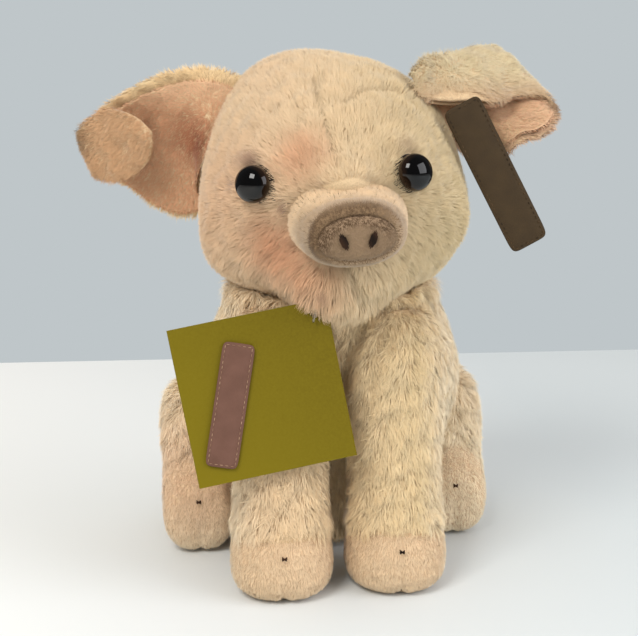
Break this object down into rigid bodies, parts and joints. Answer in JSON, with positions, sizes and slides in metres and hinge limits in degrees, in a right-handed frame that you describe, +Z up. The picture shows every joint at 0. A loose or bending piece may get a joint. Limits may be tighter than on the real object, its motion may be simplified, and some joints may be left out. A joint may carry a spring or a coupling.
{
  "type": "plush pig",
  "caption": "Small sitting plush pig with a round head, folded ears, stubby legs, safety eyes, a stitched snout, a folded hang tag and a leather ear tag",
  "frame": {"origin": "on the floor under the middle of the torso's flat seat", "axes": "+Z up, -Y the way the pig faces, +X to the viewer's right from in front"},
  "size_m": [0.167, 0.1363, 0.181],
  "materials": {
    "plush": "cream-beige long-pile plush",
    "short_pile": "short-pile velboa in warm beige",
    "lining": "short-pile pink ear lining",
    "nose_cloth": "greige-pink short-pile cloth",
    "felt": "dark brown felt",
    "filling": "white polyester fibre",
    "bag_cloth": "thin white non-woven cloth round plastic pellets",
    "eye_plastic": "glossy black-brown plastic",
    "washer_plastic": "white moulded plastic",
    "clear_nylon": "clear moulded nylon",
    "brown_thread": "dark brown embroidery thread",
    "cream_thread": "cream sewing thread",
    "card": "olive coated card",
    "leather": "dark brown leather"
  },
  "bodies": {
    "torso": {"torso_cover": "plush", "torso_filling": "filling", "pellet_bag": "bag_cloth", "tag_pin": "clear_nylon"},
    "neck": {"neck_seam": "cream_thread"},
    "head": {"head_cover": "plush", "head_filling": "filling", "eye_left": "eye_plastic", "eye_right": "eye_plastic", "eye_felt_left": "felt", "eye_felt_right": "felt", "eye_washer_left": "washer_plastic", "eye_washer_right": "washer_plastic", "snout_cover": "short_pile", "snout_filling": "filling", "nose_pad": "nose_cloth", "nostril_left": "brown_thread", "nostril_right": "brown_thread"},
    "ear_left": {"ear_outer_left": "plush", "ear_lining_left": "lining"},
    "ear_right": {"ear_outer_right": "plush", "ear_lining_right": "lining"},
    "foreleg_left": {"foreleg_cover_left": "plush", "foreleg_hoof_left": "short_pile", "foreleg_filling_left": "filling", "foreleg_knot_left": "brown_thread"},
    "foreleg_right": {"foreleg_cover_right": "plush", "foreleg_hoof_right": "short_pile", "foreleg_filling_right": "filling", "foreleg_knot_right": "brown_thread"},
    "hindleg_left": {"hindleg_cover_left": "plush", "hindleg_hoof_left": "short_pile", "hindleg_filling_left": "filling", "hindleg_knot_left": "brown_thread"},
    "hindleg_right": {"hindleg_cover_right": "plush", "hindleg_hoof_right": "short_pile", "hindleg_filling_right": "filling", "hindleg_knot_right": "brown_thread"},
    "tail": {"tail": "short_pile"},
    "hang_tag": {"hang_tag_card": "card", "hang_tag_label": "leather"},
    "ear_tag": {"ear_tag": "leather"}
  },
  "joints": [
    {"name": "head_turn", "type": "hinge", "parent": "torso", "child": "neck", "pos_m": [0, -0.027, 0.1338], "axis": [0, 0, 1], "range_deg": [-20, 20], "stiffness_Nm_per_rad": 0.4},
    {"name": "head_nod", "type": "hinge", "parent": "neck", "child": "head", "pos_m": [0, -0.027, 0.1338], "axis": [1, 0, 0], "range_deg": [-8, 8], "stiffness_Nm_per_rad": 0.4},
    {"name": "ear_left_flap", "type": "hinge", "parent": "head", "child": "ear_left", "pos_m": [-0.04173, -0.02452, 0.15697], "axis": [0.4855, 0, 0.8743], "range_deg": [-5, 15], "stiffness_Nm_per_rad": 0.05},
    {"name": "ear_right_flap", "type": "hinge", "parent": "head", "child": "ear_right", "pos_m": [0.03811, -0.02926, 0.16257], "axis": [-0.6025, 0, 0.7981], "range_deg": [-2, 20], "stiffness_Nm_per_rad": 0.05},
    {"name": "foreleg_left_swing", "type": "hinge", "parent": "torso", "child": "foreleg_left", "pos_m": [-0.0195, -0.044, 0.072], "axis": [-1, 0, 0], "range_deg": [-3, 1.5], "stiffness_Nm_per_rad": 0.1},
    {"name": "foreleg_right_swing", "type": "hinge", "parent": "torso", "child": "foreleg_right", "pos_m": [0.0195, -0.044, 0.072], "axis": [-1, 0, 0], "range_deg": [-3, 6], "stiffness_Nm_per_rad": 0.1},
    {"name": "hindleg_left_swing", "type": "hinge", "parent": "torso", "child": "hindleg_left", "pos_m": [-0.0338, 0.0025, 0.03], "axis": [-1, 0, 0], "range_deg": [0, 12], "stiffness_Nm_per_rad": 0.1},
    {"name": "hindleg_right_swing", "type": "hinge", "parent": "torso", "child": "hindleg_right", "pos_m": [0.0338, 0.0125, 0.03], "axis": [-1, 0, 0], "range_deg": [0, 12], "stiffness_Nm_per_rad": 0.1},
    {"name": "tail_wag", "type": "hinge", "parent": "torso", "child": "tail", "pos_m": [0, 0.0288, 0.03], "axis": [0, 0, 1], "range_deg": [-12, 12], "stiffness_Nm_per_rad": 0.004},
    {"name": "hang_tag_swing", "type": "hinge", "parent": "torso", "child": "hang_tag", "pos_m": [-0.0087, -0.0647, 0.0955], "axis": [0, -0.989, 0.1478], "range_deg": [-8, 12]},
    {"name": "ear_tag_flap", "type": "hinge", "parent": "ear_right", "child": "ear_tag", "pos_m": [0.0405, -0.0484, 0.1619], "axis": [-0.8829, 0, -0.4695], "range_deg": [0, 25], "stiffness_Nm_per_rad": 0.004}
  ]
}
